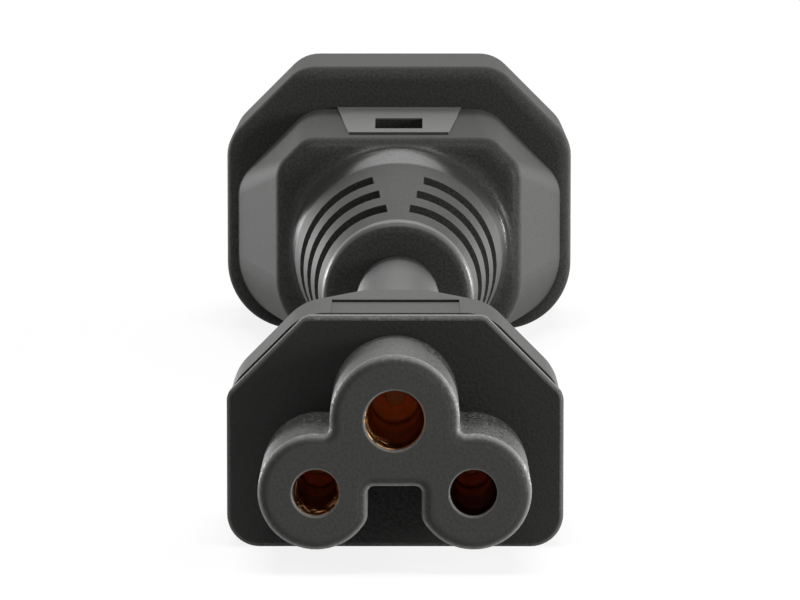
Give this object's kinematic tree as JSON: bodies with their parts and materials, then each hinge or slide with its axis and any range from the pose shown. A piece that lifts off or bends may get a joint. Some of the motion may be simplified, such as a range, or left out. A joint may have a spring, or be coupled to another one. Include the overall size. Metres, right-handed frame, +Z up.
{
  "type": "power adapter lead",
  "caption": "Short black moulded mains adapter lead: a clover-nosed socket on one end, a shrouded flat-blade plug on the other, slotted strain reliefs and a stub of round cable between them.",
  "frame": {"origin": "middle of the lead's length and width, on the surface that both connectors lie on", "axes": "+Y along the lead from the clover socket to the plug's mouth, +X to the right as seen from the socket's end, +Z up"},
  "size_m": [0.0292, 0.152, 0.0224],
  "materials": {
    "moulded_body": "fine-grained matte moulded PVC, charcoal black",
    "insert_plastic": "satin hard moulding, charcoal black",
    "cable_sheath": "smooth satin PVC sheath",
    "contact_copper": "bright rolled copper alloy",
    "strand_copper": "bare copper strands",
    "plated_blade": "nickel-plated brass",
    "insulation_green": "smooth PVC",
    "insulation_black": "smooth PVC",
    "insulation_white": "smooth PVC"
  },
  "bodies": {
    "root": {"socket_insert": "insert_plastic", "socket_overmould": "moulded_body", "socket_contact_earth": "contact_copper", "socket_contact_line": "contact_copper", "socket_contact_neutral": "contact_copper", "cable_jacket": "cable_sheath", "wire_earth_insulation": "insulation_green", "wire_line_insulation": "insulation_black", "wire_neutral_insulation": "insulation_white", "wire_earth_strands": "strand_copper", "wire_line_strands": "strand_copper", "wire_neutral_strands": "strand_copper", "plug_overmould": "moulded_body", "plug_carrier": "insert_plastic", "plug_pin_earth": "plated_blade", "plug_pin_line": "plated_blade", "plug_pin_neutral": "plated_blade"}
  },
  "joints": []
}
